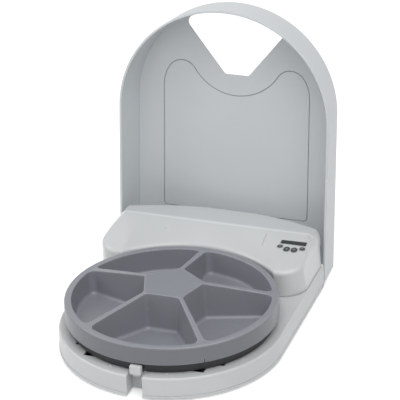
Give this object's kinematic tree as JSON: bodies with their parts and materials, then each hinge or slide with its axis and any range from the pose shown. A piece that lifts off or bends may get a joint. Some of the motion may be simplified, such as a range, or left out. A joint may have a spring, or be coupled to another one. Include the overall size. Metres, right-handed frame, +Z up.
{
  "type": "five meal pet feeder",
  "caption": "Round timed pet feeder: a turning tray of food compartments under a hinged D-shaped lid with a V-shaped opening, on a low casing with a rear timer housing.",
  "frame": {"origin": "on the floor under the middle of the open feeder", "axes": "+Z up, +Y to the rear where the lid is hinged, +X to the right where the display is"},
  "size_m": [0.2452, 0.3682, 0.3088],
  "materials": {
    "casing": "fine matte moulded texture",
    "tray_grey": "satin moulded",
    "dark_grey": "satin moulded",
    "rubber": "soft matte",
    "steel": "plain zinc plated",
    "cell": "film wrapped can",
    "window": "clear polished, dark behind",
    "display": "grey-green liquid crystal face",
    "circuit": "solder resist",
    "nylon": "natural nylon",
    "motor_can": "pressed can",
    "black": "moulded",
    "button": "satin moulded"
  },
  "bodies": {
    "base": {"base_shell": "casing", "bottom_cover": "casing", "housing_cover": "casing", "battery_cells": "cell", "battery_contacts": "steel", "rubber_feet": "rubber", "casing_screws": "steel", "hinge_pins": "steel", "latch_spring": "steel", "display_lens": "window", "lcd_module": "display", "timer_board": "circuit", "board_screws": "steel", "spindle": "steel", "thrust_washer": "nylon", "drive_plate": "casing", "plate_screws": "steel", "idler_pin": "steel", "motor": "motor_can", "position_switch": "black"},
    "turntable": {"turntable": "dark_grey", "drive_gear": "nylon"},
    "tray": {"tray": "tray_grey"},
    "lid": {"lid": "casing"},
    "idler": {"idler_gear": "nylon"},
    "pinion": {"motor_pinion": "nylon"},
    "latch": {"latch": "casing"},
    "battery_door": {"battery_door": "casing"},
    "button_left": {"button_left": "button"},
    "button_down": {"button_down": "button"},
    "button_up": {"button_up": "button"},
    "button_right": {"button_right": "button"}
  },
  "joints": [
    {"name": "lid_hinge", "type": "hinge", "parent": "base", "child": "lid", "pos_m": [0, 0.10341, 0.0231], "axis": [-1, 0, 0], "range_deg": [-95, 0]},
    {"name": "turntable_spin", "type": "hinge", "parent": "base", "child": "turntable", "pos_m": [0, -0.06179, 0.028], "axis": [0, 0, 1], "continuous": true},
    {"name": "idler_spin", "type": "hinge", "parent": "base", "child": "idler", "pos_m": [0, -0.02579, 0.02], "axis": [0, 0, 1], "continuous": true},
    {"name": "pinion_spin", "type": "hinge", "parent": "base", "child": "pinion", "pos_m": [0.024, -0.02579, 0.02], "axis": [0, 0, 1], "continuous": true},
    {"name": "tray_lift", "type": "slide", "parent": "turntable", "child": "tray", "axis": [0, 0, 1], "range_m": [0, 0.08]},
    {"name": "latch_press", "type": "slide", "parent": "base", "child": "latch", "axis": [0, 1, 0], "range_m": [0, 0.002], "stiffness_N_per_m": 500, "springref_m": -0.001},
    {"name": "battery_door_release", "type": "slide", "parent": "base", "child": "battery_door", "axis": [0, 0, -1], "range_m": [0, 0.03]},
    {"name": "button_left_press", "type": "slide", "parent": "base", "child": "button_left", "axis": [0.0245, 0.1934, -0.9808], "range_m": [0, 0.0008], "stiffness_N_per_m": 400, "springref_m": -0.0005},
    {"name": "button_down_press", "type": "slide", "parent": "base", "child": "button_down", "axis": [0.0245, 0.1934, -0.9808], "range_m": [0, 0.0008], "stiffness_N_per_m": 400, "springref_m": -0.0005},
    {"name": "button_up_press", "type": "slide", "parent": "base", "child": "button_up", "axis": [0.0245, 0.1934, -0.9808], "range_m": [0, 0.0008], "stiffness_N_per_m": 400, "springref_m": -0.0005},
    {"name": "button_right_press", "type": "slide", "parent": "base", "child": "button_right", "axis": [0.0245, 0.1934, -0.9808], "range_m": [0, 0.0008], "stiffness_N_per_m": 400, "springref_m": -0.0005}
  ],
  "couplings": [
    {"joint": "idler_spin", "follows": "turntable_spin", "ratio": -5},
    {"joint": "pinion_spin", "follows": "turntable_spin", "ratio": 20}
  ]
}
